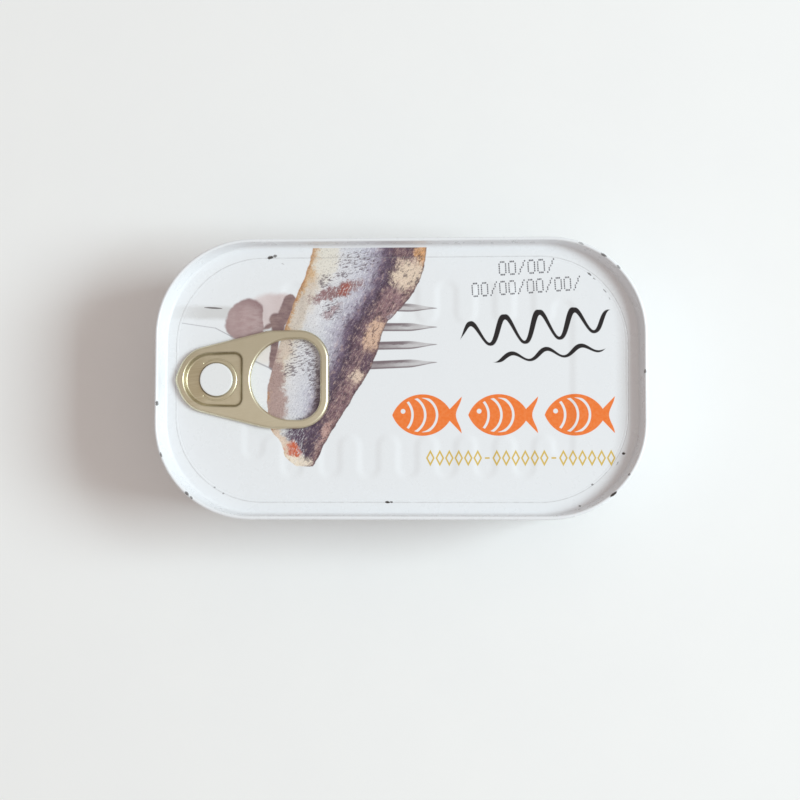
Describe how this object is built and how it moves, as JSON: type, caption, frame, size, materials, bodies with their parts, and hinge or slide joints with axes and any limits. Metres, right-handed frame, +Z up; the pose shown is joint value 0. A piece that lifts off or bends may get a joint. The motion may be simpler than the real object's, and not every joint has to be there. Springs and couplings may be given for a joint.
{
  "type": "sardine tin",
  "caption": "Shut easy-open fish tin with round corners, a white enamelled lid, printed fields of colour and a gold ring pull.",
  "frame": {"origin": "centre of the tin in plan, on the plane it stands on", "axes": "+X along the tin's length, away from the ring pull; +Y across it; +Z up, out of the lid"},
  "size_m": [0.104, 0.0596, 0.028],
  "materials": {
    "white_enamel": "glossy white enamel on tinplate",
    "printed_enamel": "glossy white enamel with printed fields of colour",
    "gold_lacquer": "gold lacquer over brushed sheet"
  },
  "bodies": {
    "root": {"body": "white_enamel", "lid": "printed_enamel", "ring_pull": "gold_lacquer"}
  },
  "joints": []
}
